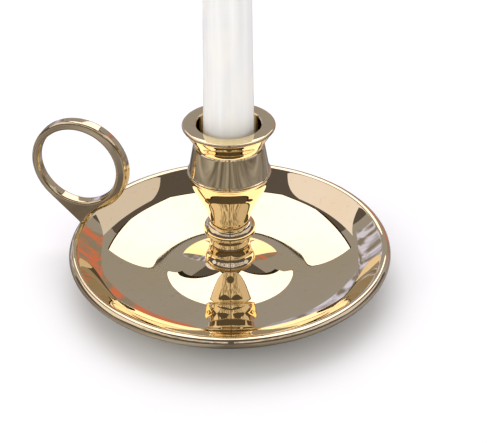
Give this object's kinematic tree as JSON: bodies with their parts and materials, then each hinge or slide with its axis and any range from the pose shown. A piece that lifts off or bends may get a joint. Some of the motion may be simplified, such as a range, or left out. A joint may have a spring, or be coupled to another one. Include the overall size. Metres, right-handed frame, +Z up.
{
  "type": "candlestick",
  "caption": "Brass chamber candlestick with a dished drip pan, a turned stem and socket, a finger ring and a loose taper candle.",
  "frame": {"origin": "the middle of the whole object's footprint, on the table plane that the pan stands on; the stem's axis is vertical through x = +0.0097 m, y = 0", "axes": "+Z up along the stem and candle; the finger ring points along -X, and the object is mirror symmetric in Y"},
  "size_m": [0.1594, 0.14, 0.2625],
  "materials": {
    "pan_brass": "mirror polished, lacquered",
    "turned_brass": "turned and mirror polished",
    "ring_brass": "cast and polished",
    "screw_brass": "satin",
    "candle_wax": "smooth dipped wax",
    "wick_cotton": "braided, waxed"
  },
  "bodies": {
    "holder": {"drip_pan": "pan_brass", "stem": "turned_brass", "candle_socket": "turned_brass", "stem_washer": "screw_brass", "fixing_screw": "screw_brass", "ring_handle": "ring_brass", "handle_rivet": "ring_brass"},
    "candle": {"candle": "candle_wax", "wick": "wick_cotton"}
  },
  "joints": [
    {"name": "candle_lift", "type": "slide", "parent": "holder", "child": "candle", "axis": [0, 0, 1], "range_m": [0, 0.03]}
  ]
}
